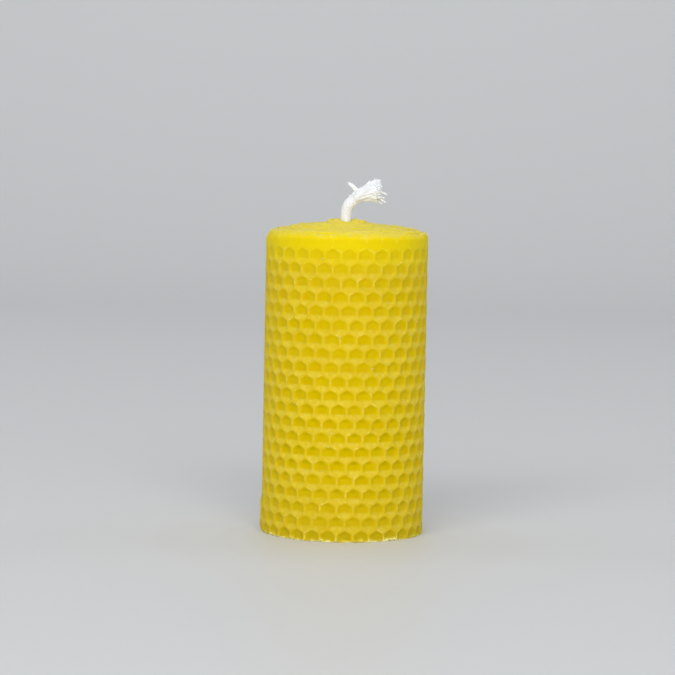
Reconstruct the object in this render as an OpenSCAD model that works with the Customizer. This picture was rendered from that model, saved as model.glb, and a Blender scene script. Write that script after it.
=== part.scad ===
// Rolled honeycomb wax candle: a cotton wick in a spiral of embossed wax strips.
// The roll stands on z = 0 with the wick on the Z axis, and the front faces -Y.

/* [Wax sheet] */
// Width of one honeycomb cell, from flat to flat, its walls' middles included
cell_w = 5.3; // [5:0.1:5.6]
// Width of the wall between two cells
wall_w = 1; // [0.8:0.1:1.4]
// Depth of a cell below the crest of its walls
cell_depth = 0.9; // [0.5:0.05:1.1]
// Thickness of the sheet over the crests of its walls
sheet_t = 1.5; // [1.4:0.05:2]

/* [Roll] */
// Height of the outer rim above the base
rim_h = 99.6; // [80:0.1:150]
// Length of each of the three full strips along the roll
strip_len = 350; // [300:5:400]
// Length of the short strip that starts the roll at the wick
core_len = 73; // [60:1:90]
// Gap between one turn and the next
turn_gap = 0.5; // [0.45:0.05:0.8]
// Gap between the ends of two strips that follow each other
joint_gap = 0.4; // [0.2:0.1:1]
// Direction in which the free end of the outer strip lies, seen from above
seam_angle = 34; // [0:1:90]
// Height of the lowest row of cell centres above the base
first_row_h = 1.2; // [1:0.1:2.5]
// Plain wax between the free end of the outer strip and its first cells
end_margin = 1; // [0.4:0.1:1.2]

/* [Top] */
// Rise of the outer strip's slanted top edge, from its free end inwards
outer_slant = 1.7; // [0:0.1:4]
// Rise of the middle strip's top edge
middle_slant = 0.6; // [0:0.1:4]
// Rise of the inner strip's top edge
inner_slant = 0.7; // [0:0.1:4]
// Rise of the core strip's top edge
core_slant = 0.4; // [0:0.1:2]
// Step up from the outer strip to the middle strip
middle_step = 0.1; // [0:0.1:2]
// Step up from the middle strip to the inner strip
inner_step = 0.1; // [0:0.1:2]
// Step up from the inner strip to the core strip
core_step = 1; // [0:0.1:3]

/* [Wick] */
// Diameter of the cotton cord
wick_d = 3.4; // [2.4:0.1:4]
// Clearance between the cord and the first turn of wax
wick_clearance = 0.2; // [0.2:0.05:0.5]
// Height of the cord's foot above the base
wick_recess = 0.5; // [0.2:0.1:1]
// Straight rise of the cord out of the wax
stub_rise = 2.6; // [2:0.1:8]
// Radius of the bend, at the middle of the cord
bend_r = 4.6; // [3:0.1:8]
// Angle of the bend from upright
bend_angle = 70; // [30:5:90]

/* [Frayed end] */
// Length of the frayed end, up to its shortest strands
tuft_len = 7.6; // [5:0.2:12]
// Height of the frayed end where it is widest
tuft_h = 7.8; // [5:0.2:10]
// Depth of the frayed end from front to back
tuft_depth = 5.6; // [4:0.2:8]
// Length of the strand tips past the shortest strands
tip_len = 2.6; // [1:0.1:4]
// Gap between the cord and the pieces that seat on it
seat_gap = 0.15; // [0.1:0.05:0.3]
// Length of the loose strand
strand_len = 3.9; // [2:0.1:6]
// Diameter of the loose strand where it leaves the cord
strand_d = 1.4; // [0.8:0.1:1.8]
// Diameter of the loose strand at its tip
strand_tip_d = 0.4; // [0.2:0.1:0.8]
// Lean of the loose strand back from the cord's own normal
strand_lean = 28; // [0:2:40]

/* [Hidden] */

wax_color = [0.91, 0.80, 0.13];
cotton_color = [0.96, 0.95, 0.90];

// Flat steps in one turn of the roll, and the shortest step as a share of them
steps_per_turn = 36;
least_step_share = 0.3;
// Overrun of a cell's cut past the crests, less than the gap to the next turn
cut_overrun = turn_gap / 2;

// Width of a hexagon across its flats, as a share of its width across corners
flats_share = cos(30);

pitch = sheet_t + turn_gap;
start_r = wick_d / 2 + wick_clearance + sheet_t / 2;
row_pitch = cell_w * flats_share;

// Lengths along the roll at which each strip starts and ends
inner_from = core_len + joint_gap;
inner_to = inner_from + strip_len;
middle_from = inner_to + joint_gap;
middle_to = middle_from + strip_len;
outer_from = middle_to + joint_gap;
outer_to = outer_from + strip_len;

// Heights of the top edges at the inner end of each strip
outer_top = rim_h + outer_slant;
middle_top = outer_top + middle_step + middle_slant;
inner_top = middle_top + inner_step + inner_slant;
core_top = inner_top + core_step + core_slant;

// Turns of the roll that a length of sheet makes, and the length that turns take
function turns_of(len) = (sqrt(start_r * start_r + pitch * len / PI) - start_r) / pitch;
function length_of(turns) = 2 * PI * turns * (start_r + pitch * turns / 2);

end_turns = turns_of(outer_to);
function roll_r(turns) = start_r + pitch * turns;
function roll_angle(turns) = seam_angle - 360 * (end_turns - turns);
// A point of the roll: turns along it, out from the sheet's middle, height
function roll_point(turns, out, z) =
    let (r = roll_r(turns) + out, a = roll_angle(turns))
    [r * cos(a), r * sin(a), z];

// Places along a strip, in turns, all on one grid of angles but for its two ends
function stations(first, last) =
    let (n = steps_per_turn, least = least_step_share / n)
    concat(
        [first],
        [for (k = [ceil(first * n):floor(last * n)])
            if (k / n - first > least && last - k / n > least) k / n],
        [last]
    );

// Two triangles for the quad a, b, c, d
function quad(a, b, c, d) = [[a, b, c], [a, c, d]];
// Triangles of a skin over rings of sides points each, closed by two flat ends
function skin(rings, sides) =
    let (top = (rings - 1) * sides)
    concat(
        [for (j = [1:sides - 2]) [0, j + 1, j]],
        [for (i = [0:rings - 2], j = [0:sides - 1])
            let (k = (j + 1) % sides, a = i * sides)
            each quad(a + j, a + k, a + sides + k, a + sides + j)],
        [for (j = [1:sides - 2]) [top, top + j, top + j + 1]]
    );

// One strip of sheet on the roll, its top edge slanting from inner_h to outer_h
module rolled_strip(from, to, inner_h, outer_h) {
    places = stations(turns_of(from), turns_of(to));
    points = [
        for (t = places)
            let (h = inner_h + (outer_h - inner_h) * (length_of(t) - from) / (to - from))
            each [
                roll_point(t, -sheet_t / 2, 0),
                roll_point(t, sheet_t / 2, 0),
                roll_point(t, sheet_t / 2, h),
                roll_point(t, -sheet_t / 2, h)
            ]
    ];
    polyhedron(points, skin(len(places), 4));
}

// The cut of one hexagonal cell, at a length along the roll and a height
module cell_cut(along, z) {
    t = turns_of(along);
    rotate(roll_angle(t))
        translate([roll_r(t) + sheet_t / 2 - cell_depth, 0, z])
            rotate([0, 90, 0])
                cylinder(d = (cell_w - wall_w) / flats_share, h = cell_depth + cut_overrun, $fn = 6);
}

// Cells on the turn that shows, from the free end back to where the roll covers it
module honeycomb() {
    first = outer_to - end_margin - (cell_w - wall_w) / 2;
    shown = outer_to - length_of(end_turns - 1);
    columns = ceil(shown / cell_w);
    rows = ceil((outer_top - first_row_h) / row_pitch);
    for (row = [0:rows - 1], column = [0:columns - 1])
        cell_cut(first - (column + (row % 2) / 2) * cell_w, first_row_h + row * row_pitch);
}

module core_strip() {
    color(wax_color) rolled_strip(0, core_len, core_top, core_top - core_slant);
}

module inner_strip() {
    color(wax_color) rolled_strip(inner_from, inner_to, inner_top, inner_top - inner_slant);
}

module middle_strip() {
    color(wax_color)
        rolled_strip(middle_from, middle_to, middle_top, middle_top - middle_slant);
}

module outer_strip() {
    color(wax_color)
        difference() {
            rolled_strip(outer_from, outer_to, outer_top, rim_h);
            honeycomb();
        }
}

// Sides of the cord and of the loose strand, and rings along each stretch
cord_sides = 8;
core_rings = 14;
bend_rings = 7;
strand_sides = 6;

bend_z = core_top + stub_rise;
// Middle of the cord at an angle of its bend, as [x, z]
function bend_point(a) = [bend_r * (1 - cos(a)), bend_z + bend_r * sin(a)];
// A ring of points round [x, z], facing the direction that leans a from upright
function ring(middle, a, r, sides) = [
    for (j = [0:sides - 1])
        let (u = r * cos(360 * j / sides), v = r * sin(360 * j / sides))
        [middle.x + u * cos(a), -v, middle.y - u * sin(a)]
];

module wick() {
    straight = [
        for (i = [0:core_rings - 1])
            each ring([0, wick_recess + (bend_z - wick_recess) * i / core_rings], 0,
                wick_d / 2, cord_sides)
    ];
    bend = [
        for (i = [0:bend_rings])
            let (a = bend_angle * i / bend_rings)
            each ring(bend_point(a), a, wick_d / 2, cord_sides)
    ];
    color(cotton_color)
        polyhedron(concat(straight, bend), skin(core_rings + bend_rings + 1, cord_sides));
}

// How far the tip of each strand of the frayed end reaches, and how deep the
// grooves between the strands are, as shares
tip_shares = [0.75, 0.35, 0.9, 0.45, 0.6, 0.2, 0.5, 0.3, 1, 0.55, 0.85, 0.4];
tuft_strands = len(tip_shares);
groove_share = 0.16;
// The frayed end's rings as shares of its length, and how far each has spread
tuft_ring_shares = [0, 0.12, 0.3, 0.5, 0.75, 1];
tuft_spread_shares = [0, 0.16, 0.36, 0.56, 0.78, 1];
// The hollow in the middle of its end, as a share of its length
tuft_hollow_share = 0.12;

tuft_start = bend_point(bend_angle) + seat_gap * [sin(bend_angle), cos(bend_angle)];
// A point of the frayed end: along it, up across it and out to its side
function tuft_point(along, up, side) = [
    tuft_start.x + along * sin(bend_angle) - up * cos(bend_angle),
    side,
    tuft_start.y + along * cos(bend_angle) + up * sin(bend_angle)
];
// Half height and half depth where it has spread by a share
function tuft_up(share) = wick_d / 2 + (tuft_h - wick_d) / 2 * share;
function tuft_side(share) = wick_d / 2 + (tuft_depth - wick_d) / 2 * share;

module wick_tuft() {
    sides = 2 * tuft_strands;
    last = len(tuft_ring_shares) - 1;
    points = [
        for (i = [0:last], j = [0:sides - 1])
            let (
                share = tuft_spread_shares[i],
                deep = 1 - (j % 2) * groove_share * share,
                tip = i == last && j % 2 == 0 ? tip_len * tip_shares[j / 2] : 0,
                a = 360 * j / sides
            )
            tuft_point(tuft_len * tuft_ring_shares[i] + tip,
                -tuft_up(share) * deep * cos(a), -tuft_side(share) * deep * sin(a))
    ];
    hollow = tuft_point(tuft_len * (1 - tuft_hollow_share), 0, 0);
    top = last * sides;
    body = [
        for (f = skin(last + 1, sides)) if (min(f) < top) f
    ];
    end = [for (j = [0:sides - 1]) [top + j, top + (j + 1) % sides, len(points)]];
    color(cotton_color) polyhedron(concat(points, [hollow]), concat(body, end));
}

// The loose strand leaves the top of the frayed end at this share of its length
strand_at_share = 0.12;
strand_rings = 4;
// How far the loose strand's tip has curled forward, as a share of its length
strand_curl_share = 0.12;

module loose_strand() {
    lean = bend_angle - 90 - strand_lean;
    foot_up = tuft_up(tuft_spread_shares[1]) + strand_d / 2 * sin(strand_lean) + seat_gap;
    foot = tuft_point(tuft_len * strand_at_share, foot_up, 0);
    points = [
        for (i = [0:strand_rings])
            let (
                share = i / strand_rings,
                along = strand_len * share,
                curl = strand_len * strand_curl_share * share * share,
                middle = [
                    foot.x + along * sin(lean) + curl * cos(lean),
                    foot.z + along * cos(lean) - curl * sin(lean)
                ]
            )
            each ring(middle, lean, (strand_d + (strand_tip_d - strand_d) * share) / 2,
                strand_sides)
    ];
    color(cotton_color) polyhedron(points, skin(strand_rings + 1, strand_sides));
}

// Distance from point p to the segment from a to b
function segment_gap(p, a, b) =
    let (d = b - a, t = max(0, min(1, (p - a) * d / (d * d)))) norm(p - a - t * d);
// Least gap between the outer face of each turn and the inner face of the next,
// measured at every grid point of the whole roll
least_gap = min([
    for (k = [0:floor((end_turns - 1) * steps_per_turn) - 1], m = [-1:0])
        segment_gap(
            roll_point(k / steps_per_turn, sheet_t / 2, 0),
            roll_point((k + m) / steps_per_turn + 1, -sheet_t / 2, 0),
            roll_point((k + m + 1) / steps_per_turn + 1, -sheet_t / 2, 0)
        )
]);
echo(str("turns in the roll: ", end_turns, ", least gap between them: ", least_gap, " mm"));

core_strip();
inner_strip();
middle_strip();
outer_strip();
wick();
wick_tuft();
loose_strand();
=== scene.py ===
# A rolled honeycomb candle: wax strips wound on a cotton wick with a frayed end.
# The candle's own lengths are in mm, up to make_object, which turns them into metres.
import math

import bmesh
import bpy
import numpy as np
from mathutils import Matrix, Vector
from mathutils.geometry import delaunay_2d_cdt


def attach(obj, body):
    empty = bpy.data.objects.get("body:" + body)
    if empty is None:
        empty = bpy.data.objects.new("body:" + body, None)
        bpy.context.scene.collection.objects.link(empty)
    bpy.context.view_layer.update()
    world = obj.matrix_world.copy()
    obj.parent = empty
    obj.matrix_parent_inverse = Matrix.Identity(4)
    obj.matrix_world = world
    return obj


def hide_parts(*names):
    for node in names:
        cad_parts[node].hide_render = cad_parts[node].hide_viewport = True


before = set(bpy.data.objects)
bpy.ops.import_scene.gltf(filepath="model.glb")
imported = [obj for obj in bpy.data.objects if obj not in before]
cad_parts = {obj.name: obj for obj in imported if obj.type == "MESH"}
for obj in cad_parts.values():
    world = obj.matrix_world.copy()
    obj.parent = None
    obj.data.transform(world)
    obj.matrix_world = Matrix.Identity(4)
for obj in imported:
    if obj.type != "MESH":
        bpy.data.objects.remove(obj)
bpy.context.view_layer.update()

MM = 0.001
rng = np.random.default_rng(11)

# Camera, in metres
CAMERA_AT = (-0.0021, -1.0, 0.14712)
LOOKS_DOWN, LEANS = math.radians(4.71), math.radians(1.1)

camera = bpy.data.objects.new("camera", bpy.data.cameras.new("camera"))
bpy.context.collection.objects.link(camera)
camera.data.lens = 161.0
camera.data.sensor_width = 36
camera.data.clip_start = 0.01
camera.data.clip_end = 20
camera.matrix_world = (
    Matrix.Translation(CAMERA_AT)
    @ Matrix.Rotation(math.pi / 2 - LOOKS_DOWN, 4, "X")
    @ Matrix.Rotation(LEANS, 4, "Z")
)
bpy.context.scene.camera = camera
bpy.context.scene.view_settings.view_transform = "Standard"

# The roll, in mm
CELL = 5.3  # a cell from flat to flat
PITCH = 2.0  # from one turn to the next
START_R = 2.65  # radius at which the roll starts
SEAM = 34  # direction of the free end, in degrees
LEFT = 188  # direction of the photo's left side
CORE_LEN = 73  # the short strip at the wick
STRIP_LEN = 350  # each of the other three
JOINT_GAP = 0.4  # between two strips that follow each other
RIM_H = 99.6  # height of the top edge at the free end
# from the core outwards: rise of each strip's top edge towards its inner end
SLANTS = {"core_strip": 0.4, "inner_strip": 0.7, "middle_strip": 0.6, "outer_strip": 1.7}
# and the step up to it from the next strip out
STEPS = {"core_strip": 1.0, "inner_strip": 0.1, "middle_strip": 0.1, "outer_strip": 0}
# how far each strip's cells lie off the outer strip's, both ways
SHIFTS = {"core_strip": 1.3, "inner_strip": 3.9, "middle_strip": 2.1, "outer_strip": 0}

# The embossed sheet, in mm
ROW = CELL * math.cos(math.radians(30))  # from one row of cells to the next
CORNER = CELL / 2 / math.cos(math.radians(30))  # from a cell's centre to a corner
SLANT = math.sin(math.pi / 3)  # of a cell's slanted walls
FIRST_ROW = 1.2  # height of the lowest row of cell centres
FULL_ROW = 21  # this row and those above it are nearly full of wax
END_MARGIN = 1.0  # plain wax at the free end
CREASE = -0.55  # level at which a cell is deepest, from its centre
CREASE_FALL = 0.1  # how much that level falls per mm to either side
FALL_ABOVE, FALL_BELOW = 0.17, 0.54  # slope of a cell's floor, as a share of its depth per mm
WALL_SHARE = 0.58  # how far the slopes of its walls reach in
JITTER_U, JITTER_V = 0.13, 0.1  # how far a cell may lie off its place
DEPTH_VARIES, CREASE_VARIES = 0.08, 0.04
CREST_SAG = 0.08  # of the crests between their corners
CREST_OUT = 0.75  # outer crests, from the middle of the sheet
CREST_IN = -1.22  # inner crests, from the same
OUTER_DEEP, OUTER_SHALLOWER = 0.68, 0.2  # depth of the cells, and how much less at the top
SHALLOWER_FROM, SHALLOWER_OVER = 82, 12  # where that starts, and over what height it grows
INNER_DEEP = 0.75
OUTER_BARE, INNER_BARE = 0.5, 0.35  # depth of the faces where a hidden turn has no cells
LEAST_WAX = 0.5  # between the two faces
FADE_IN = 6  # length over which the sheet changes where a hidden turn comes to show
FLATTENED, FLATTENED_BAND = 0.8, 3.5  # share of the relief lost at a hidden turn's top
MOST_RISE, RISE_BAND = 0.75, 4  # slant of a cut top, and the height that follows it
EDGE = 0.13  # rounding of the cut edges
# of the rim: in a hidden turn, more in the one that shows, and more again at the left
RIM_WIDTHS = 0.5, 0.8, 1.5
RIM_PRESSES = 0.3, 0.6, 0.5
CORE_END_PRESS = 1.2
FREE_PRESS, FREE_WIDTH = 0.35, 3  # of the free end
FOOT_PRESS, FOOT_WIDTH = 0.85, 1.7  # of the foot at the left
SWELL, SWELL_TO = 0.5, 12.5  # of the lower left, and how high up it reaches
LIP, LIP_VARIES = 0.3, 0.85  # height of the closed edge of the cut cells at the base
WICK_R = 1.72  # of the hole for the wick
TOP_BAND = 8  # height of the embossed band under a hidden turn's top edge
FOOT_BAND = 4.2  # height of the embossed band at its foot
# spacing of the mesh points
CUT_ROOM = 0.42  # along the cut edges, to the first ones inside
SHOWN_STEP, HIDDEN_STEP = 0.45, 0.75  # on the edges, where they show and elsewhere
END_STEP = 0.7  # up the ends of a strip
BAR_STEP = 0.46  # on the level bars in a cell
GRID_STEP = 8.2  # up the plain wax between the bands
# the top at the left bulges in the middle turns and sags towards the rim
LEFT_BULGE, BULGE_R = 0.42, 13.5
LEFT_SAG, SAG_R = 0.45, 16.5
# and dips round the wick, more so at the front
DIP, DIP_R = 0.3, 3.9
FRONT_DIP, FRONT_DIP_R = 0.62, 9
# noise, as rows of height, size and what they add to the seed
TOP_WAVES = ((0.14, 23, 0), (0.1, 5.1, 1), (0.1, 1.7, 6))
CUT_LUMPS = ((0.2, 2.6, 11), (0.14, 1.1, 12))
ROUGHNESS = ((0.025, 0.9, 2), (0.03, 4, 3))


def place_strips():
    """For each strip, its start and end along the roll and its top's height at both."""
    spans, end = {}, -JOINT_GAP
    for name in SLANTS:
        start = end + JOINT_GAP
        end = start + (CORE_LEN if name == "core_strip" else STRIP_LEN)
        spans[name] = (start, end)
    strips, top = {}, RIM_H
    for name in reversed(SLANTS):
        low = top + STEPS[name]
        top = low + SLANTS[name]
        # rounded, so that sums of tenths stay tenths
        strips[name] = tuple(round(number, 1) for number in (*spans[name], top, low))
    return {name: strips[name] for name in SLANTS}


STRIPS = place_strips()
LENGTH = STRIPS["outer_strip"][1]


def turns_of(u):
    """Turns of the roll that a length of sheet makes."""
    return (np.sqrt(START_R**2 + PITCH * u / np.pi) - START_R) / PITCH


def length_of(t):
    """Length of sheet that a number of turns takes."""
    return 2 * np.pi * t * (START_R + PITCH * t / 2)


END_TURNS = turns_of(LENGTH)
SHOWN_FROM = length_of(END_TURNS - 1)


def roll_top(u):
    """Height of the roll's top at length u, without its unevenness."""
    spans = [(a, b) for a, b, _, _ in STRIPS.values()]
    tops = [(c, d) for _, _, c, d in STRIPS.values()]
    return np.interp(u, np.ravel(spans), np.ravel(tops))


def angle_of(u):
    """Direction of the roll at length u, in degrees from 0 to 360."""
    return (SEAM - 360 * (END_TURNS - turns_of(u))) % 360


def wrap(u, v, out):
    """Points of the roll, in mm: u along it, v up it, out from the sheet's middle."""
    t = turns_of(u)
    r = START_R + PITCH * t + out
    a = np.radians(SEAM) - 2 * np.pi * (END_TURNS - t)
    return np.stack([r * np.cos(a), r * np.sin(a), v], axis=1)


def smooth(x):
    """0 up to 0, 1 from 1 on, and a smooth step between."""
    x = np.clip(x, 0, 1)
    return x * x * (3 - 2 * x)


def noise(u, v, size, seed):
    """Smooth noise from -1 to 1 with features of the given size."""
    table = np.random.default_rng(seed).random((64, 512)) * 2 - 1
    x, y = np.asarray(u) / size, np.asarray(v) / size
    i, j = np.floor(x).astype(int), np.floor(y).astype(int)
    fx, fy = smooth(x - i), smooth(y - j)

    def at(a, b):
        return table[b % 64, a % 512]

    low = at(i, j) * (1 - fx) + at(i + 1, j) * fx
    high = at(i, j + 1) * (1 - fx) + at(i + 1, j + 1) * fx
    return low * (1 - fy) + high * fy


def noises(u, v, rows, seed):
    """Sum of several noises, given as rows of height, size and what they add to the seed."""
    return sum(height * noise(u, v, size, seed + more) for height, size, more in rows)


def cell_at(u, v, origin):
    """Offset from the nearest cell's centre, and the cell's row and column."""
    base = np.floor((v - origin[1]) / ROW)
    best = None
    for k in (0, 1):
        row = base + k
        start = origin[0] - (row % 2) / 2 * CELL
        column = np.round((start - u) / CELL)
        du = u - (start - column * CELL)
        dv = v - (origin[1] + row * ROW)
        far = du * du + dv * dv
        if best is None:
            best = [far, du, dv, row, column]
        else:
            closer = far < best[0]
            best = [np.where(closer, b, a) for a, b in zip(best, [far, du, dv, row, column])]
    return best[1:]


def roundness(share):
    """0 on a cell's straight walls and 1 towards its centre, where its rings are round."""
    return smooth((0.95 - share) / 0.5)


def pit_depth(u, v, origin, seed, filled=None):
    """Depth of the embossed sheet below its crests, as a share, and the painted shade: the share
    to which a point lies in the upper, deep part of a cell, which its upper walls shade.
    Rows from filled on are nearly full."""
    du, dv, row, column = cell_at(u, v, origin)
    table = np.random.default_rng(seed).random((4, 64, 512)) * 2 - 1
    i, j = row.astype(int) % 64, column.astype(int) % 512
    du = du + JITTER_U * table[0, i, j]
    dv = dv + JITTER_V * table[1, i, j]
    # m is 1 on a cell's walls and falls to 0 at its centre, in ever rounder rings
    walls = np.sort(np.abs([du, du / 2 + dv * SLANT, du / 2 - dv * SLANT]), axis=0)
    flat = walls[2] / (CELL / 2)
    rounded = np.hypot(du, dv) / (CELL / 2 * 1.05)
    m = flat + (rounded - flat) * roundness(flat)
    bowl = smooth((1 - m) / WALL_SHARE)
    # a cell is deepest along a level crease, and its floor rises from there both ways
    crease = CREASE - CREASE_FALL * np.abs(du) + CREASE_VARIES * table[3, i, j]
    slope = 1.04 - np.clip(crease - dv, 0, CELL) * FALL_BELOW
    slope = slope - np.clip(dv - crease, 0, CELL) * FALL_ABOVE
    soft = 0.1
    blend = np.clip(1 - np.abs(bowl - slope) / soft, 0, 1) ** 2
    share = np.minimum(bowl, slope) - soft / 4 * blend
    # the crests sag a little between their corners
    corner = smooth((walls[1] / np.maximum(walls[2], 1e-6) - 0.5) / 0.5)
    sag = CREST_SAG * (1 - corner) * smooth((m - 0.6) / 0.4)
    deep = 1 + DEPTH_VARIES * table[2, i, j]
    # painted shade is 1 above the crease, where the upper walls shade a cell, more under its
    # top corner, and below 0 in paler patches on the upper crests
    painted_shade = smooth((0.94 - m) / 0.14) * smooth((dv - crease + 0.33) / 0.66)
    painted_shade = painted_shade * (1 + 0.45 * smooth((dv - 0.6) / 0.9) * smooth((1.5 - np.abs(du)) / 1.2))
    painted_shade = painted_shade * (1 + 0.16 * noise(u, v, 3.3, seed + 33))
    # the lowest row of cells gets darker painted shade
    painted_shade = painted_shade * np.where(row == 0, 1.6, 1)
    pale_crest_patches = smooth(0.5 + noise(u, v, 2.2, seed + 31)) * smooth(0.4 + noise(u, v, 0.6, seed + 32))
    painted_shade = painted_shade - 0.4 * smooth((m - 0.86) / 0.1) * pale_crest_patches * smooth((dv + 0.6) / 1.2)
    # nearly full rows get little painted shade, and paler patches on their crests
    if filled is not None:
        deep = deep * np.where(row >= filled, 0.16, 1)
        sag = sag * np.where(row >= filled, 0.3, 1)
        painted_shade = painted_shade * np.where(row >= filled, 0.2, 1)
        painted_shade = painted_shade - 0.12 * (row >= filled) * smooth((m - 0.84) / 0.12) * pale_crest_patches
    return deep * np.maximum(share, 0) + sag, painted_shade


def cell_points(origin, u_from, u_to, v_from, v_to, rings, bars=()):
    """Points on rings and level bars in each cell, for a mesh that follows its form."""
    points = []
    rows = np.arange(math.floor((v_from - origin[1]) / ROW) - 1, (v_to - origin[1]) / ROW + 2)
    for row in rows:
        start = origin[0] - (row % 2) / 2 * CELL
        columns = np.arange(math.floor((start - u_to) / CELL) - 1, (start - u_from) / CELL + 2)
        cu = start - columns * CELL
        cv = origin[1] + row * ROW
        for share, angles in rings:
            a = np.radians(angles)
            hexed = share * CELL / 2 / np.cos((a + math.pi / 6) % (math.pi / 3) - math.pi / 6)
            rounded = share * CELL / 2 * 1.06
            r = hexed + (rounded - hexed) * roundness(share)
            u = cu[:, None] + r * np.cos(a)
            v = cv + r * np.sin(a) + 0 * cu[:, None]
            points.append(np.stack([u.ravel(), v.ravel()], axis=1))
        for lift in bars:
            across = np.arange(-4, 5) * BAR_STEP
            u = cu[:, None] + across
            v = cv + CREASE - CREASE_FALL * np.abs(across) + lift + 0 * cu[:, None]
            points.append(np.stack([u.ravel(), v.ravel()], axis=1))
    return np.concatenate(points)


def directions(n, first):
    """A number of evenly spread directions, in degrees."""
    return first + np.arange(n) * 360 / n


OWN_WALLS = -10 + 20 * np.arange(8)  # the rest of a cell's wall points are its neighbours'
# Rings of mesh points in a cell: their share of its size, and their directions
FINE = [
    (1.0, OWN_WALLS),
    (0.91, directions(18, 30)),
    (0.81, directions(18, 30)),
    (0.69, directions(18, 30)),
    (0.53, directions(12, 15)),
    (0.3, directions(6, 0)),
    (0.0, directions(1, 0)),
]
COARSE = [
    (1.0, OWN_WALLS),
    (0.84, directions(12, 0)),
    (0.6, directions(12, 15)),
    (0.3, directions(6, 0)),
]
FINE_BARS = (-0.24, 0.24)  # level bars of points, above and below the crease


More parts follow.
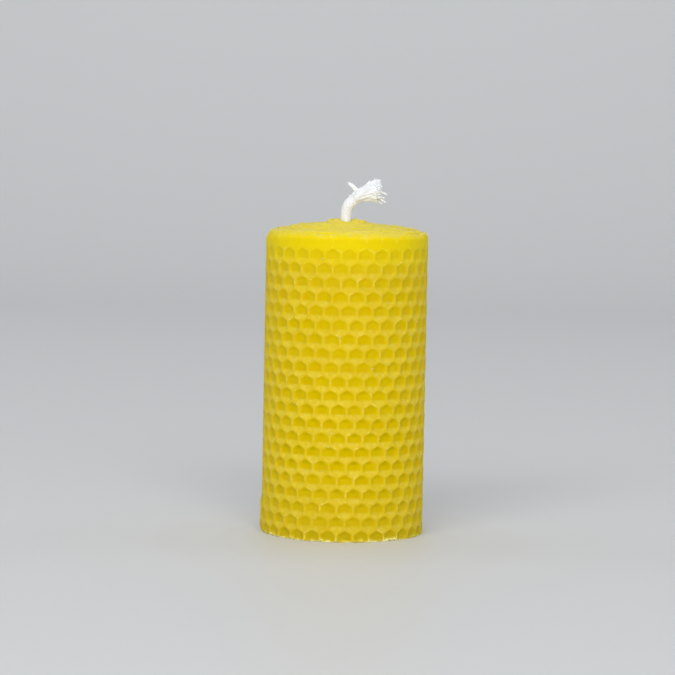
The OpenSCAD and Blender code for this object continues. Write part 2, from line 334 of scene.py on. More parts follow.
class Sheet:
    """One strip of embossed wax, flat in u and v, then wrapped on the roll."""

    def __init__(self, name):
        self.name = name
        self.start, self.end, self.top_in, self.top_out = STRIPS[name]
        shift = SHIFTS[name]
        self.seed = 100 + len(name)
        self.filled = FULL_ROW if name == "outer_strip" else None
        self.outer_origin = (LENGTH - END_MARGIN - (CELL - 1) / 2 + shift, FIRST_ROW + shift)
        self.inner_origin = (self.outer_origin[0], self.outer_origin[1] + CORNER)

    def top(self, u):
        """Height of the top edge: slanted, uneven, bulging at the left, low by the wick."""
        share = (u - self.start) / (self.end - self.start)
        line = self.top_in + (self.top_out - self.top_in) * share
        wave = noises(u, 0 * u, TOP_WAVES, self.seed)
        r = START_R + PITCH * turns_of(u)
        bulge = LEFT_BULGE * np.exp(-(((r - BULGE_R) / 4) ** 2))
        sag = LEFT_SAG * smooth((r - SAG_R) / 3)
        front = np.maximum(0, -np.sin(np.radians(angle_of(u))))
        dip = DIP * smooth((DIP_R - r) / 1.6) + FRONT_DIP * front * smooth((FRONT_DIP_R - r) / 2)
        return line + wave - 0.1 - dip + (bulge - sag) * self.left(u, 45)

    def left(self, u, spread):
        """1 at the left of the roll, fading round it over a spread in degrees."""
        return np.exp(-(((angle_of(u) - LEFT) / spread) ** 2))

    def shown(self, u):
        """1 in the turn that shows and 0 in those under it."""
        return smooth((u - SHOWN_FROM + FADE_IN) / FADE_IN)

    def band(self, u, v):
        """1 near the top and bottom edges, where the relief of a hidden turn shows."""
        near_top = smooth((v - (self.top(u) - TOP_BAND)) / 2)
        near_base = smooth((FOOT_BAND - v) / 1.2)
        return np.maximum(near_top, near_base)

    def relief(self, u, v):
        """Less than 1 where the turns are pressed together under the cut top."""
        hidden = 1 - self.shown(u)
        return 1 - FLATTENED * hidden * smooth((v - (self.top(u) - FLATTENED_BAND)) / 2)

    def rise(self, u, v, share):
        """Slant of the cut top up to the next turn in, at a share of the thickness."""
        t = turns_of(u)
        inner = np.maximum(length_of(np.maximum(t - 1, 0)), 0)
        step = np.clip(roll_top(inner) - roll_top(u), 0, MOST_RISE)
        lumps = noises(u, v * 0, CUT_LUMPS, self.seed) * (0.3 + 0.7 * np.sin(share * math.pi))
        return (step * share + lumps) * smooth((v - (self.top(u) - RISE_BAND)) / RISE_BAND)

    def core_end(self, u):
        """Extra rounding of the rim, in mm, where the core strip comes to its end."""
        end = self.name == "core_strip"
        return CORE_END_PRESS * smooth((u - CORE_LEN / 2 + 0.5) / 12) if end else 0 * u

    def rim(self, u, v):
        """Share of the rounding at the top: 0 where it starts and 1 at the cut edge."""
        hidden, shown, left = RIM_WIDTHS
        width = hidden + shown * self.shown(u) + left * self.shown(u) * self.left(u, 30)
        width = width + self.core_end(u)
        return np.clip((v - (self.top(u) - width)) / width, 0, 1)

    def press(self, u, v):
        """How far the rim and the foot are rounded and the free end pressed in, in mm."""
        rim = 1 - np.sqrt(1 - 0.999 * self.rim(u, v) ** 2)
        hidden, shown, left = RIM_PRESSES
        most = hidden + shown * self.shown(u) + left * self.shown(u) * self.left(u, 30)
        most = most + self.core_end(u)
        free = np.clip((u - (LENGTH - FREE_WIDTH)) / FREE_WIDTH, 0, 1) ** 2
        foot = np.clip(1 - v / FOOT_WIDTH, 0, 1) ** 2 * self.shown(u) * self.left(u, 28)
        return most * rim + FREE_PRESS * free + FOOT_PRESS * foot

    def swell(self, u, v):
        """How far the turn that shows stands off at the lower left, in mm."""
        return SWELL * self.shown(u) * self.left(u, 20) * smooth((SWELL_TO - v) / 2.5)

    def lip(self, u):
        """Height of the ragged edge that closes the cut cells at the base, in mm."""
        ragged = 0.5 + 0.5 * noise(u, 0 * u, 1.3, self.seed + 21)
        return LIP + LIP_VARIES * ragged**2

    def outer_pit(self, u, v):
        """Depth of the outer face below its crests, in mm."""
        deep = OUTER_DEEP - OUTER_SHALLOWER * smooth((v - SHALLOWER_FROM) / SHALLOWER_OVER)
        deep = deep * (1 - 0.75 * self.rim(u, v)) * self.relief(u, v)
        pit = pit_depth(u, v, self.outer_origin, self.seed, self.filled)[0] * deep
        keep = np.maximum(self.band(u, v), self.shown(u))
        pit = pit * (1 - 0.85 * self.shown(u) * smooth((self.lip(u) + 0.25 - v) / 0.3))
        return pit * keep + OUTER_BARE * (1 - keep)

    def painted_shade(self, u, v):
        """Painted shade in the deep upper part of each shown cell; below 0 where wax is chipped."""
        painted_shade = pit_depth(u, v, self.outer_origin, self.seed, self.filled)[1]
        chips = smooth((self.lip(u) + 0.2 - v) / 0.3)
        pale = smooth(0.55 + 0.8 * noise(u, v, 0.8, self.seed + 22))
        # the painted shade is capped, deepest towards the bottom, and fades upwards and at the left
        faint = 1 - 0.12 * smooth((v - 35) / 25) - 0.2 * smooth((v - 76) / 18)
        painted_shade = np.minimum(painted_shade, 1.6 - 0.45 * smooth((v - 15) / 55))
        painted_shade = painted_shade * (1 - 0.55 * self.left(u, 22)) * faint
        crest = 1 - smooth(self.outer_pit(u, v) / 0.22)
        foot = crest * smooth((2.0 - v) / 1.1)
        foot = foot * smooth(0.3 + 0.9 * noise(u, v, 1.5, self.seed + 23))
        return self.shown(u) * (painted_shade * (1 - chips) - pale * chips - 0.7 * foot)

    def inner_pit(self, u, v):
        """Depth of the inner face below its crests, in mm, with enough wax left."""
        pit = INNER_DEEP * pit_depth(u, v, self.inner_origin, self.seed + 5)[0] * self.relief(u, v)
        keep = self.band(u, v)
        pit = pit * keep + INNER_BARE * (1 - keep)
        spare = CREST_OUT - CREST_IN - self.outer_pit(u, v) - self.press(u, v) - LEAST_WAX
        return np.minimum(pit, np.maximum(spare, 0))

    def outer(self, u, v):
        """The outer face, in mm out from the middle of the sheet."""
        rough = noises(u, v, ROUGHNESS, self.seed)
        return CREST_OUT - 0.04 - self.outer_pit(u, v) + rough - self.press(u, v) + self.swell(u, v)

    def inner(self, u, v):
        """The inner face, in mm out from the same, which closes round the wick at first."""
        out = CREST_IN + self.inner_pit(u, v) + self.swell(u, v)
        t = turns_of(u)
        to_wick = WICK_R - (START_R + PITCH * t)
        first = smooth((1.0 - t) / 0.08)
        return out + (to_wick - out) * first

    def outline(self):
        """Points round the strip, and the directions that face out of it."""
        fine = self.name == "outer_strip"
        steps = []
        u = self.start
        while u < self.end:
            steps.append(u)
            u += SHOWN_STEP if fine and u > SHOWN_FROM - FADE_IN else HIDDEN_STEP
        steps = np.array(steps[1:])
        steps = steps[steps < self.end - 0.35]
        back = steps[::-1]
        u0, u1 = self.start + EDGE, self.end - EDGE
        end_steps = np.arange(END_STEP, self.top_out - 0.9, END_STEP)
        sides = (
            ([[u0, EDGE]], (-1, -1)),
            (np.stack([steps, 0 * steps + EDGE], 1), (0, -1)),
            ([[u1, EDGE]], (1, -1)),
            (np.stack([0 * end_steps + u1, end_steps], 1), (1, 0)),
            ([[u1, self.top(u1) - EDGE]], (1, 1)),
            (np.stack([back, self.top(back) - EDGE], 1), (0, 1)),
            ([[u0, self.top(u0) - EDGE]], (-1, 1)),
            (np.stack([0 * end_steps + u0, end_steps[::-1]], 1), (-1, 0)),
        )
        loop = np.concatenate([points for points, _ in sides])
        facing = np.concatenate([[way] * len(points) for points, way in sides])
        return loop, facing.astype(float)

    def fill(self, origin, fine_from):
        """Inside points of one face: fine cells from fine_from on, bands before it."""
        sets = []
        if fine_from < self.end:
            fine = cell_points(origin, fine_from, self.end, 0, self.top_in, FINE, FINE_BARS)
            sets.append(fine[fine[:, 0] >= fine_from])
        if self.start < fine_from:
            last = min(self.end, fine_from)
            band_from = self.top_out - TOP_BAND
            low = cell_points(origin, self.start, last, 0, FOOT_BAND, COARSE)
            high = cell_points(origin, self.start, last, band_from, self.top_in, COARSE)
            both = np.concatenate([low[low[:, 1] < FOOT_BAND], high])
            above = both[:, 1] > self.top(both[:, 0]) - TOP_BAND
            both = both[(both[:, 1] < FOOT_BAND) | above]
            both = both[both[:, 0] < last]
            sets.append(both)
            # a wide grid between the bands
            grid = []
            u = self.start + 0.5
            while u < last - 0.3:
                grid += [[u, v] for v in np.arange(8.5, self.top_out - 11, GRID_STEP)]
                u += float(np.clip(0.3 * (START_R + PITCH * turns_of(u)), 0.8, 4))
            sets.append(np.array(grid))
        points = np.concatenate(sets)
        u, v = points[:, 0], points[:, 1]
        inside = (u > self.start + CUT_ROOM) & (u < self.end - CUT_ROOM) & (v > 0.4)
        inside &= v < self.top(u) - CUT_ROOM
        return points[inside]

    def face(self, is_outer, loop, ring):
        """One face inside the loop: its vertices, triangles, and painted shade and chips, 0.3 on
        the inner face.
        """
        nowhere = self.end + 1
        fine_from = SHOWN_FROM - 2 if is_outer and self.name == "outer_strip" else nowhere
        inside = self.fill(self.outer_origin if is_outer else self.inner_origin, fine_from)
        flat = np.concatenate([loop, inside])
        made = delaunay_2d_cdt([Vector(p) for p in flat], ring, [], 1, 1e-5)
        flat, tris = np.array([list(p) for p in made[0]]), np.array(made[2])
        u, v = flat[:, 0], flat[:, 1]
        if is_outer:
            return wrap(u, v + self.rise(u, v, 0.0), self.outer(u, v)), tris, self.painted_shade(u, v)
        return wrap(u, v + self.rise(u, v, 1.0), self.inner(u, v)), tris[:, ::-1], 0.3 + 0 * u

    def cut_edges(self, loop, facing):
        """Three rows of vertices and shades between the two faces, with rounded corners."""
        edge = loop + EDGE * facing
        outer, inner = self.outer(*loop.T), self.inner(*loop.T)
        fray = 0.03 * noise(loop[:, 0], loop[:, 1], 0.7, self.seed + 8)
        grain = noise(loop[:, 0], 0 * loop[:, 0], 0.8, self.seed + 22)
        chips = 0.7 * smooth(0.5 + 0.8 * grain) * self.shown(loop[:, 0])
        at_base = facing[:, 1] < 0
        for share, lift, height in ((0.14, 0.75, 0.03), (0.5, 1.0, 0), (0.86, 0.75, 0.03)):
            uv = loop + (edge - loop) * lift
            uv[:, 1] = np.maximum(uv[:, 1], 0)
            uv[at_base, 1] = height
            rise = self.rise(uv[:, 0], uv[:, 1], share)
            out = outer - (outer - inner) * share + fray
            yield wrap(uv[:, 0], uv[:, 1] + rise, out), np.where(at_base, -chips, 0)

    def build(self):
        """Vertices in mm, faces, and painted shade and chips of the closed, wrapped strip."""
        loop, facing = self.outline()
        n = len(loop)
        i = np.arange(n)
        k = (i + 1) % n
        ring = [(int(a), int(b)) for a, b in zip(i, k)]
        outer_verts, outer_tris, outer_shades = self.face(True, loop, ring)
        inner_verts, inner_tris, inner_shades = self.face(False, loop, ring)
        inner_from = len(outer_verts)
        edges_from = inner_from + len(inner_verts)
        verts, shades = [outer_verts, inner_verts], [outer_shades, inner_shades]
        for row, row_shades in self.cut_edges(loop, facing):
            verts.append(row)
            shades.append(row_shades)
        faces = [outer_tris, inner_tris + inner_from]
        rows = [0, edges_from, edges_from + n, edges_from + 2 * n, inner_from]
        for a, b in zip(rows, rows[1:]):
            faces.append(np.stack([a + i, a + k, b + k, b + i], 1))
        return np.concatenate(verts), faces, np.concatenate(shades)


def make_object(name, verts, faces, material, attribute):
    """A smooth mesh object from vertices in mm, lists of faces and values at its points."""
    mesh = bpy.data.meshes.new(name)
    flat = [f for block in faces for f in (block.tolist() if hasattr(block, "tolist") else block)]
    mesh.from_pydata((verts * MM).tolist(), [], flat)
    mesh.update()
    key, kind, values = attribute
    layer = mesh.attributes.new(key, kind, "POINT")
    layer.data.foreach_set("value" if kind == "FLOAT" else "vector", np.ravel(values))
    shell = bmesh.new()
    shell.from_mesh(mesh)
    bmesh.ops.recalc_face_normals(shell, faces=shell.faces)
    shell.to_mesh(mesh)
    shell.free()
    mesh.shade_smooth()
    mesh.materials.append(material)
    obj = bpy.data.objects.new(name, mesh)
    bpy.context.collection.objects.link(obj)
    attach(obj, "root")
    return obj


# Materials
class Look:
    """A material, with short ways to add nodes to it."""

    def __init__(self, name):
        self.material = bpy.data.materials.new(name)
        self.material.use_nodes = True
        self.nodes = self.material.node_tree.nodes
        self.links = self.material.node_tree.links
        self.shader = self.nodes["Principled BSDF"]

    def place(self):
        return self.nodes.new("ShaderNodeTexCoord").outputs["Object"]

    def normal(self):
        return self.nodes.new("ShaderNodeNewGeometry").outputs["Normal"]

    def attribute(self, name, output):
        node = self.nodes.new("ShaderNodeAttribute")
        node.attribute_name = name
        return node.outputs[output]

    def upward(self, vector):
        """The part of a vector that points up."""
        parts = self.nodes.new("ShaderNodeSeparateXYZ")
        self.links.new(vector, parts.inputs["Vector"])
        return parts.outputs["Z"]

    def noise(self, source, scale, detail=3.0, rough=0.55):
        texture = self.nodes.new("ShaderNodeTexNoise")
        texture.inputs["Scale"].default_value = scale
        texture.inputs["Detail"].default_value = detail
        texture.inputs["Roughness"].default_value = rough
        self.links.new(source, texture.inputs["Vector"])
        return texture.outputs["Fac"]

    def ranged(self, value, low, high, to_low, to_high):
        """A value clamped between low and high and moved to another range."""
        span = self.nodes.new("ShaderNodeMapRange")
        self.links.new(value, span.inputs["Value"])
        ends = {"From Min": low, "From Max": high, "To Min": to_low, "To Max": to_high}
        for key, number in ends.items():
            span.inputs[key].default_value = number
        return span.outputs["Result"]

    def product(self, a, b):
        times = self.nodes.new("ShaderNodeMath")
        times.operation = "MULTIPLY"
        self.links.new(a, times.inputs[0])
        self.links.new(b, times.inputs[1])
        return times.outputs["Value"]

    def mix(self, share, a, b):
        """Colour a where the share is 0 and colour b where it is 1."""
        mix = self.nodes.new("ShaderNodeMix")
        mix.data_type = "RGBA"
        self.links.new(share, mix.inputs["Factor"])
        for socket, value in ((mix.inputs[6], a), (mix.inputs[7], b)):
            if isinstance(value, tuple):
                socket.default_value = (*value, 1)
            else:
                self.links.new(value, socket)
        return mix.outputs[2]

    def bump(self, height):
        bump = self.nodes.new("ShaderNodeBump")
        bump.inputs["Strength"].default_value = 0.35
        bump.inputs["Distance"].default_value = 0.0001
        self.links.new(height, bump.inputs["Height"])
        self.links.new(bump.outputs["Normal"], self.shader.inputs["Normal"])

    def set(self, values):
        for key, value in values.items():
            self.shader.inputs[key].default_value = value


# Colours of the wax
CRESTS = (0.613, 0.45, 0.014), (0.658, 0.49, 0.021)
BLOOM = (0.675, 0.543, 0.055)
# painted shade in the upper part of the cells, and darker painted shade under their top corners
PAINTED_CELL_SHADES = (0.625, 0.46, 0.0), (0.62, 0.433, 0.0)
PAINTED_SHADE_UNDER_CORNERS = (0.49, 0.37, 0.0)
# painted shade towards the foot, and a painted glow of light in the band under the rim
PAINTED_FOOT_SHADE = (0.52, 0.385, 0.012)
PAINTED_RIM_GLOW = (0.75, 0.595, 0.0)
CHIPS = (0.93, 0.82, 0.36)
# paler on what faces up; pale flecks on it, partly flakes of wax and partly painted glints
PALE_FACING_UP = (0.70, 0.545, 0.04)
FLAKES_AND_GLINTS = (0.80, 0.68, 0.2)
# Layers of pale flecks, partly painted glints: scale and range of their noise, most share, and
# range of facing up
FLAKE_AND_GLINT_LAYERS = (
    (520, 0.42, 0.7, 0.24, (0.12, 0.4)),
    (1300, 0.46, 0.62, 0.42, (0.55, 0.85)),
)
# Colours of the cotton
COTTONS = (0.885, 0.9, 0.924), (0.87, 0.875, 0.885)
STREAKS = (0.85, 0.83, 0.77)


def wax_material():
    """Yellow wax, by height, by the painted shade at its points and by how far it faces up."""
    look = Look("yellow_wax")
    place = look.place()
    # the pit attribute: painted shade of the cells from 0 up, pale chips below 0
    pit = look.attribute("pit", "Fac")
    height = look.upward(place)
    facing = look.upward(look.normal())
    cloudy = look.noise(place, 90)
    patches = look.noise(place, 380, 2)
    mottled = look.noise(place, 700, 4)
    fine = look.noise(place, 2600, 4, 0.65)

    # crests, with a bloom that thins out upwards
    share = look.ranged(cloudy, 0.3, 0.7, 0, 1)
    crest = look.mix(share, *CRESTS)
    bloom = look.product(
        look.ranged(mottled, 0.45, 0.68, 0, 1), look.ranged(height, 0.03, 0.09, 0.5, 0.25)
    )
    crest = look.mix(bloom, crest, BLOOM)

    # painted shade in the cells, darkest under their top corners
    share = look.ranged(patches, 0.4, 0.6, 0, 1)
    cell = look.mix(share, *PAINTED_CELL_SHADES)
    colour = look.mix(look.ranged(pit, 0, 1, 0, 1), crest, cell)
    colour = look.mix(look.ranged(pit, 1, 1.6, 0, 1), colour, PAINTED_SHADE_UNDER_CORNERS)

    # painted shade at the foot, a painted glow of light in the band under the rim, and pale chips
    colour = look.mix(look.ranged(height, 0.0, 0.024, 0.45, 0), colour, PAINTED_FOOT_SHADE)
    rim_glow_share = look.product(
        look.ranged(height, 0.087, 0.0968, 0, 0.85), look.ranged(pit, 0, 1, 1, 0.5)
    )
    colour = look.mix(rim_glow_share, colour, PAINTED_RIM_GLOW)
    colour = look.mix(look.ranged(pit, 0, -1, 0, 1), colour, CHIPS)

    # paler where it faces up, and pale flecks on all that faces up, partly flakes and partly
    # painted glints
    colour = look.mix(look.ranged(facing, 0.45, 0.9, 0, 1), colour, PALE_FACING_UP)
    for scale, low, high, most, steep in FLAKE_AND_GLINT_LAYERS:
        flake_and_glint_noise = look.noise(place, scale, 3, 0.6)
        share = look.product(
            look.ranged(flake_and_glint_noise, low, high, 0, most), look.ranged(facing, *steep, 0, 1)
        )
        colour = look.mix(share, colour, FLAKES_AND_GLINTS)
    look.links.new(colour, look.shader.inputs["Base Color"])
    look.links.new(look.ranged(mottled, 0.3, 0.7, 0.4, 0.58), look.shader.inputs["Roughness"])
    look.bump(fine)
    look.set(
        {
            "Specular IOR Level": 0.08,
            "Specular Tint": (1.0, 0.85, 0.2, 1),
            "Subsurface Weight": 0.8,
            "Subsurface Radius": (1.0, 0.75, 0.12),
            "Subsurface Scale": 0.0019,
            "IOR": 1.44,
        }
    )
    return look.material


def cotton_material():
    """White cotton, a little cloudy, with streaks along its fibres."""
    look = Look("white_cotton")
    streaks = look.noise(look.attribute("fibre", "Vector"), 4.0, 3, 0.6)
    cloudy = look.noise(look.place(), 260)
    share = look.ranged(cloudy, 0.35, 0.7, 0, 1)
    base = look.mix(share, *COTTONS)
    colour = look.mix(look.ranged(streaks, 0.25, 0.5, 0.22, 0), base, STREAKS)
    look.links.new(colour, look.shader.inputs["Base Color"])
    look.bump(streaks)
    look.set(
        {
            "Roughness": 0.85,
            "Subsurface Weight": 0.3,
            "Subsurface Radius": (1.0, 0.9, 0.75),
            "Subsurface Scale": 0.0006,
            "Sheen Weight": 0.25,
            "Sheen Roughness": 0.5,
        }
    )
    return look.material


WAX = wax_material()
COTTON = cotton_material()


# Wax
def wax_strips():
    """The strips of the roll, each in its node's place."""
    sheets = {strip: Sheet(strip) for strip in STRIPS}
    for strip, sheet in sheets.items():
        verts, faces, shades = sheet.build()
        # the pit attribute carries the painted shade of the cells, and pale chips below 0
        piece = make_object(f"{strip}_wax", verts, faces, WAX, ("pit", "FLOAT", shades))
        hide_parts(strip)
    return sheets


CRUMBS = 280
FOOT_CRUMBS = 80  # those along the bottom edge, which come first


def turned(points, i, j, angle):
    """Points turned by an angle in the plane of their axes i and j."""
    a, b = points[:, i].copy(), points[:, j].copy()
    points[:, i] = a * math.cos(angle) - b * math.sin(angle)
    points[:, j] = a * math.sin(angle) + b * math.cos(angle)


def crumbs(sheet):
    """Small bits of wax stuck to a sheet's crests and along its bottom edge."""
    ball = bmesh.new()
    bmesh.ops.create_icosphere(ball, subdivisions=1, radius=1)
    ball_verts = np.array([v.co[:] for v in ball.verts])
    ball_faces = np.array([[v.index for v in f.verts] for f in ball.faces])
    ball.free()
    verts, faces, shades = [], [], []
    placed = 0
    while placed < CRUMBS:
        on_crests = placed > FOOT_CRUMBS
        u = rng.uniform(SHOWN_FROM + 3, LENGTH - 1)
        v = rng.uniform(0.5, 96) if on_crests else rng.uniform(0.15, 0.6)
        uu, vv = np.array([u]), np.array([v])
        if sheet.outer_pit(uu, vv)[0] > (0.16 if on_crests else 0.9):
            continue
        big = not on_crests or placed % 4 == 0
        size = rng.uniform(0.2, 0.5) if big else rng.uniform(0.1, 0.24)
        size = size * np.array([rng.uniform(0.3, 0.5), 1, rng.uniform(0.4, 0.9)])
        shape = ball_verts * rng.uniform(0.75, 1.25, (len(ball_verts), 1)) * size
        turned(shape, 1, 2, rng.uniform(0, 2 * math.pi))
        middle = wrap(uu, vv, sheet.outer(uu, vv) + 0.03)[0]
        turned(shape, 0, 1, math.atan2(middle[1], middle[0]))
        shape += middle
        shape[:, 2] = np.maximum(shape[:, 2], 0.02)
        verts.append(shape)
        shades.append(np.full(len(shape), -0.25 if placed < FOOT_CRUMBS else -0.4))
        faces.append(ball_faces + placed * len(ball_verts))
        placed += 1
    shades = ("pit", "FLOAT", np.concatenate(shades))
    return make_object("wax_crumbs", np.concatenate(verts), faces, WAX, shades)


crumbs(wax_strips()["outer_strip"])

# Wick, in mm
# Middle of the cord as x and z, and its width there, from inside the wax to its end
COURSE = np.array(
    [
        (0.0, 0.5, 3.4), (0.0, 60, 3.4), (0.0, 88, 3.4), (-0.02, 96, 3.4), (-0.06, 101, 3.4),
        (-0.1, 104.1, 3.4), (-0.05, 106.2, 3.45), (0.27, 107.7, 3.6), (0.87, 108.9, 3.8),
        (1.78, 109.95, 4.0), (2.7, 110.75, 4.2), (3.6, 111.4, 4.6), (4.85, 112.2, 5.2),
        (6.5, 112.95, 6.1), (7.95, 113.45, 7.0), (9.5, 113.75, 7.8), (11.2, 113.75, 8.2),
    ]
)


def catmull(points, steps):
    """A smooth curve through rows of numbers."""
    padded = np.concatenate([[2 * points[0] - points[1]], points, [2 * points[-1] - points[-2]]])
    out = []
    for i in range(1, len(padded) - 2):
        a, b, c, d = padded[i - 1:i + 3]
        for t in np.linspace(0, 1, steps, endpoint=False):
            out.append(
                0.5 * (2 * b + (c - a) * t + (2 * a - 5 * b + 4 * c - d) * t**2
                       + (3 * b - a - 3 * c + d) * t**3)
            )
    out.append(padded[-2])
    return np.array(out)


CURVE = catmull(COURSE, 12)
CURVE_S = np.concatenate([[0], np.cumsum(np.hypot(*np.diff(CURVE[:, :2], axis=0).T))])


def course(s):
    """Middle, direction, upper side and half width of the cord at length s."""
    x, z, w = (np.interp(s, CURVE_S, CURVE[:, k]) for k in range(3))
    ahead, behind = np.minimum(s + 0.3, CURVE_S[-1]), np.maximum(s - 0.3, 0)
    dx = np.interp(ahead, CURVE_S, CURVE[:, 0]) - np.interp(behind, CURVE_S, CURVE[:, 0])
    dz = np.interp(ahead, CURVE_S, CURVE[:, 1]) - np.interp(behind, CURVE_S, CURVE[:, 1])
    size = np.hypot(dx, dz)
    along = np.stack([dx / size, 0 * dx, dz / size], -1)
    up = np.stack([-dz / size, 0 * dx, dx / size], -1)
    return np.stack([x, 0 * x, z], -1), along, up, w / 2


def s_at(value, column):
    """Length along the cord at which a column of its course reaches a value."""
    return float(np.interp(value, CURVE[:, column], CURVE_S))


END_S = CURVE_S[-1]
EXIT_S = s_at(100.0, 1)  # a little below the top of the wax
TUFT_S = s_at(3.0, 0)  # where the end starts to open
SIDEWAYS = np.array([0, 1.0, 0])
ANY_SIDE = np.array([0.31, 0.87, 0.38])  # upper side of a tube that needs no certain one
STREAK_RUN = 0.16  # change of the streaks per mm along a fibre


def tube(path, wide, thick, sides, radial=None, twist=0.0):
    """Rings round a path: vertices, faces and fibre directions for the material."""
    n = len(path)
    tangent = np.gradient(path, axis=0)
    tangent /= np.linalg.norm(tangent, axis=1)[:, None] + 1e-12
    if radial is None:
        radial = np.tile(ANY_SIDE, (n, 1))
    radial = radial - tangent * np.sum(radial * tangent, axis=1)[:, None]
    radial /= np.linalg.norm(radial, axis=1)[:, None] + 1e-12
    side = np.cross(tangent, radial)
    length = np.concatenate([[0], np.cumsum(np.linalg.norm(np.diff(path, axis=0), axis=1))])
    a = np.arange(sides) * 2 * np.pi / sides
    wide = np.broadcast_to(wide, (n,))[:, None, None]
    thick = np.broadcast_to(thick, (n,))[:, None, None]
    ring = path[:, None, :] + wide * np.cos(a)[None, :, None] * side[:, None, :]
    ring = ring + thick * np.sin(a)[None, :, None] * radial[:, None, :]
    spin = a[None, :] + twist * length[:, None]
    seed = rng.uniform(0, 50)
    fibre = np.stack(
        [np.cos(spin) + seed, np.sin(spin) + seed, STREAK_RUN * length[:, None] + 0 * spin], -1
    )
    verts, fibre = ring.reshape(-1, 3), fibre.reshape(-1, 3)
    i = np.arange(n - 1)[:, None] * sides
    j = np.arange(sides)[None, :]
    k = (j + 1) % sides
    faces = np.stack([i + j, i + k, i + sides + k, i + sides + j], -1).reshape(-1, 4).tolist()
    faces.append(list(range(sides))[::-1])
    faces.append([(n - 1) * sides + m for m in range(sides)])
    return verts, faces, fibre


def gather(name, tubes, node=None):
    """One cotton object of many tubes, which stands for a node or is extra."""
    verts, faces, fibres, count = [], [], [], 0
    for v, f, g in tubes:
        verts.append(v)
        fibres.append(g)
        faces.append([[i + count for i in face] for face in f])
        count += len(v)
    fibres = ("fibre", "FLOAT_VECTOR", np.concatenate(fibres))
    piece = make_object(name, np.concatenate(verts), faces, COTTON, fibres)
    if node:
        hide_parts(node)
    return piece


def braid_point(s, angle, reach):
    """Points at an angle round the cord and at a share of its half width."""
    middle, _, up, half = course(s)
    across = np.cos(angle)[:, None] * up + np.sin(angle)[:, None] * SIDEWAYS
    return middle + across * (half * reach)[:, None], across


STRANDS = 6  # each way round the braid
LAY = 2 * math.pi / 9.5  # turn of a strand per mm


def wick_piece():
    """The cord: a core, and strands that wind round it both ways and cross."""
    tubes = []
    s = np.linspace(0, TUFT_S + 0.6, 90)
    middle, _, up, half = course(s)
    inner = np.where(s < EXIT_S, 0.97, 0.9) * (0.6 + 0.4 * smooth((TUFT_S + 0.6 - s) / 2.4))
    tubes.append(tube(middle, half * inner, half * inner, 20, radial=up))
    s = np.linspace(EXIT_S - 2, TUFT_S + 1.4, 110)
    half = course(s)[3]
    fade = smooth((TUFT_S + 1.2 - s) / 3.8)
    grow = 0.55 + 0.45 * fade
    for way in (1, -1):
        for i in range(STRANDS):
            angle = 2 * math.pi * i / STRANDS + way * LAY * (s - EXIT_S)
            wave = way * np.cos(STRANDS * LAY * (s - EXIT_S))
            reach = (0.78 + 0.05 * wave * fade) * (0.72 + 0.28 * fade)
            path, across = braid_point(s, angle, reach)
            wide, thick = half * 0.45 * grow, half * 0.21 * grow
            tubes.append(tube(path, wide, thick, 10, radial=across, twist=way * 1.4))
    return gather("wick_cord", tubes, "wick")


YARNS = 260
YARN_FIBRES = 6  # at the tip of each yarn
NAP_FIBRES = 520
STRAND_FIBRES = 16
FUZZ_FIBRES = 150
NAP_R, TIP_R, STRAND_R, FUZZ_R = 0.17, 0.14, 0.06, 0.028  # radii of these fibres
GOLDEN_ANGLE = 2.39996
# Longer broken tips: x and z of the tip and of its base, and half its width
BROKEN_TIPS = (
    (13.5, 112.5, 10.3, 113.6, 0.36), (13.2, 109.8, 9.9, 111.4, 0.38),
    (12.0, 109.2, 9.2, 110.9, 0.36), (12.7, 111.2, 9.7, 112.0, 0.42),
    (11.8, 115.2, 9.1, 114.8, 0.45), (9.8, 117.4, 8.0, 115.6, 0.48),
    (0.75, 112.1, 2.0, 111.0, 0.34), (7.7, 117.1, 6.3, 114.9, 0.4),
)


def tuft_core():
    """What fills the frayed end under its yarns, with a rounded end."""
    s = np.concatenate(
        [np.linspace(TUFT_S - 0.4, END_S - 1.5, 14), END_S - np.array([0.9, 0.55, 0.35])]
    )
    core = np.concatenate([np.linspace(0.9, 0.84, 14), [0.76, 0.6, 0.34]])
    middle, _, up, half = course(s)
    return tube(middle, half * core * 0.97, half * core * 0.94, 24, radial=up)


def nap_fibre():
    """A short fibre on the rounded end of the core."""
    angle, share = rng.uniform(0, 2 * math.pi), math.sqrt(rng.uniform(0, 1))
    s = np.array([END_S - 0.55 - share**3])
    place, out = braid_point(s, np.array([angle]), 0.82 * share)
    ahead = course(np.array([END_S]))[1][0]
    t = np.linspace(0, 1, 4)
    drift = 0.6 * ahead + out[0] * (0.5 * share) + 0.5 * rng.normal(size=3)
    line = place[0] + drift * (t * rng.uniform(0.4, 0.8))[:, None]
    width = NAP_R * (1.1 - 0.7 * t)
    return tube(line, width, width, 6)


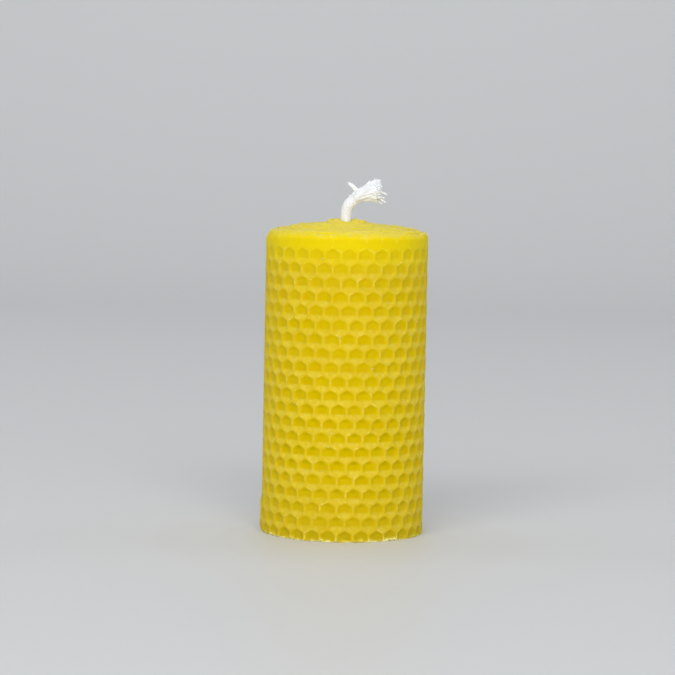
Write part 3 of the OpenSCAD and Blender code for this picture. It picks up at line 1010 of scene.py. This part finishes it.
def yarn(i):
    """One yarn of the frayed end, with the fibres at its tip."""
    angle = i * GOLDEN_ANGLE + rng.uniform(-0.15, 0.15)
    share = math.sqrt((i + 0.5) / YARNS)
    upper, under = max(0, math.cos(angle)), max(0, -math.cos(angle))
    # ragged ends, which lie further back at the sides and at the very top
    end = END_S + rng.uniform(-0.6, 0.9) - 0.7 * share * abs(math.sin(angle))
    end -= share * (0.35 * math.cos(angle) - 0.25) - 1.2 * share * under**2
    end -= 0.9 * share * upper**5
    s = np.linspace(TUFT_S - 3.6 + 2.4 * (1 - share), end, 18)
    spread = np.clip((s - TUFT_S + 2.0) / (end - TUFT_S + 2.0), 0, 1)
    bend = rng.uniform(-0.12, 0.12) * spread**2
    a = angle + bend + rng.uniform(-0.2, 0.2) * spread
    middle, _, up, half = course(s)
    across = np.cos(a)[:, None] * up * half[:, None]
    across = across + np.sin(a)[:, None] * SIDEWAYS * (half * (1 - 0.28 * spread))[:, None]
    near = (0.1 + 0.86 * share) * (0.74 + 0.23 * smooth(spread * 2.2))
    hump = np.sin(math.pi * np.clip((spread - 0.25) / 0.75, 0, 1))
    near = near * (1 - 0.16 * upper**2 * hump)
    path = middle + across * near[:, None]
    path += 0.09 * rng.normal(size=3) * np.sin(np.linspace(0, 6, 18) + i)[:, None]
    width = (0.32 + 0.15 * spread) * (1 - 0.3 * spread**12)
    out = across / (np.linalg.norm(across, axis=1)[:, None] + 1e-9)
    tubes = [tube(path, width, width * 0.7, 8, radial=out, twist=rng.uniform(-0.8, 0.8))]
    heading = path[-1] - path[-3]
    heading /= np.linalg.norm(heading)
    t = np.linspace(0, 1, 6)
    width = TIP_R * (1.15 - t)
    for _ in range(YARN_FIBRES):
        start = path[-3] + rng.normal(size=3) * 0.16
        drift = heading + 0.3 * rng.normal(size=3) + 0.15 * out[-1]
        curl = rng.normal(size=3) * 0.22
        line = start + drift * (t * rng.uniform(0.35, 1.0))[:, None] + curl * (t**2)[:, None]
        tubes.append(tube(line, width, width, 5))
    return tubes


def broken_tip(x, z, base_x, base_z, wide):
    """A longer tip of a yarn that stands out of the frayed end."""
    t = np.linspace(0, 1, 9)
    y = rng.uniform(-0.9, 0.4)
    line = np.stack([base_x + (x - base_x) * t, y + 0 * t, base_z + (z - base_z) * t], 1)
    line[:, 2] += 0.1 * np.sin(t * 3 + x)
    taper = 1.1 - 0.7 * t**3
    return tube(line, wide * taper, wide * 0.8 * taper, 7, twist=1.2)


def tuft_piece():
    """The cord's end: yarns that spread apart, each with fibres at its tip."""
    tubes = [tuft_core()]
    tubes += [nap_fibre() for _ in range(NAP_FIBRES)]
    for i in range(YARNS):
        tubes += yarn(i)
    tubes += [broken_tip(*numbers) for numbers in BROKEN_TIPS]
    return gather("wick_tuft_yarns", tubes, "wick_tuft")


def strand_piece():
    """The strand that has come out of the cord, up and to the left."""
    tubes = []
    base, tip = np.array([3.4, 0.0, 113.6]), np.array([0.25, -0.35, 116.35])
    t = np.linspace(0, 1, 14)
    line = base + (tip - base) * t[:, None]
    line[:, 2] += 0.15 * np.sin(t * math.pi)
    ahead = (tip - base) / np.linalg.norm(tip - base)
    up = np.array([ahead[2], 0, -ahead[0]])
    # six yarns round a middle one, the lower ones cut shorter
    for i in range(7):
        a = i * 2 * math.pi / 6
        reach = 0.0 if i == 6 else 0.42
        turn = a + 1.6 * t
        off = np.cos(turn)[:, None] * up + np.sin(turn)[:, None] * np.array([0, 0.8, 0])
        cut = 1.0 - 0.3 * (1 - math.cos(a)) / 2 if i < 6 else 0.86
        path = base + (line - base) * cut + off * (reach * (1 - 0.4 * t**3))[:, None]
        width = 0.34 * (1 - 0.6 * t**4)
        tubes.append(tube(path, width, width * 0.85, 7, twist=1.0))
    t = np.linspace(0, 1, 5)
    width = STRAND_R * (1.1 - t)
    for _ in range(STRAND_FIBRES):
        start = line[rng.integers(6, 13)] + rng.normal(size=3) * 0.22
        drift = ahead + 0.35 * rng.normal(size=3)
        path = start + drift * (t * rng.uniform(0.2, 0.6))[:, None]
        tubes.append(tube(path, width, width, 4))
    return gather("loose_strand_yarns", tubes, "loose_strand")


def fuzz_piece():
    """Fine broken fibres that stand off the cord and its frayed end."""
    tubes = []
    t = np.linspace(0, 1, 6)
    width = FUZZ_R * (1.1 - t)
    for _ in range(FUZZ_FIBRES):
        s = np.array([rng.uniform(EXIT_S + 3.5, END_S - 0.8)])
        angle = np.array([rng.uniform(0, 2 * math.pi)])
        point, out = braid_point(s, angle, 0.86)
        along = course(s)[1][0]
        drift = out[0] * rng.uniform(0.2, 0.8) + along * rng.uniform(-0.6, 1.0)
        curl = rng.normal(size=3) * 0.3
        size = rng.uniform(0.4, 1.0)
        line = point[0] + drift * (t * size)[:, None] + curl * (t**2 * size)[:, None]
        tubes.append(tube(line, width, width, 4))
    return gather("wick_fuzz", tubes)


wick_piece()
tuft_piece()
strand_piece()
fuzz_piece()


# Stage, in metres
FLOOR_TO, BEND_R, WALL_TOP, HALF_WIDTH = 1.0, 0.7, 3.0, 3.5


def sweep():
    """A floor that curves up into a backdrop."""
    profile = [(-3.0, 0.0)]
    profile += [(y, 0.0) for y in np.linspace(-1.5, FLOOR_TO, 6)]
    for a in np.linspace(0, math.pi / 2, 13)[1:]:
        profile.append((FLOOR_TO + BEND_R * math.sin(a), BEND_R * (1 - math.cos(a))))
    profile.append((FLOOR_TO + BEND_R, WALL_TOP))
    verts, faces = [], []
    for y, z in profile:
        verts += [(-HALF_WIDTH, y, z), (HALF_WIDTH, y, z)]
    for i in range(len(profile) - 1):
        faces.append((2 * i, 2 * i + 1, 2 * i + 3, 2 * i + 2))
    mesh = bpy.data.meshes.new("backdrop")
    mesh.from_pydata(verts, [], faces)
    mesh.shade_smooth()
    obj = bpy.data.objects.new("backdrop", mesh)
    bpy.context.collection.objects.link(obj)
    look = Look("pale_backdrop")
    look.set({"Base Color": (0.65, 0.66, 0.67, 1), "Roughness": 0.55})
    mesh.materials.append(look.material)


def area(name, place, aim, size, power):
    """A rectangular lamp that the camera doesn't see."""
    light = bpy.data.lights.new(name, "AREA")
    light.shape = "RECTANGLE"
    light.size, light.size_y = size
    light.energy = power
    obj = bpy.data.objects.new(name, light)
    obj.location = place
    obj.visible_camera = False
    obj.rotation_euler = (Vector(aim) - Vector(place)).to_track_quat("-Z", "Y").to_euler()
    bpy.context.collection.objects.link(obj)


def sky():
    """Even, slightly cool light from all round."""
    world = bpy.data.worlds.new("world")
    world.use_nodes = True
    background = world.node_tree.nodes["Background"]
    background.inputs["Color"].default_value = (0.95, 0.97, 1.0, 1)
    background.inputs["Strength"].default_value = 0.32
    bpy.context.scene.world = world


sweep()
sky()
# place, aim, width and height, and power in watts
area("key", (-0.224, -1.6, 1.11), (0, 0, 0.07), (1.92, 0.8), 29.6)
area("fill", (0.48, -2.24, 0.42), (0, 0, 0.1), (1.92, 0.8), 12.8)
area("left_rim", (-0.9, 0.35, 0.4), (0, 0, 0.06), (0.3, 0.8), 0.8)
area("right_rim", (0.9, 0.35, 0.4), (0, 0, 0.06), (0.3, 0.8), 0.8)
area("backdrop_light", (0, 0.6, 1.6), (0, 1.5, 0.2), (1.6, 0.5), 6)
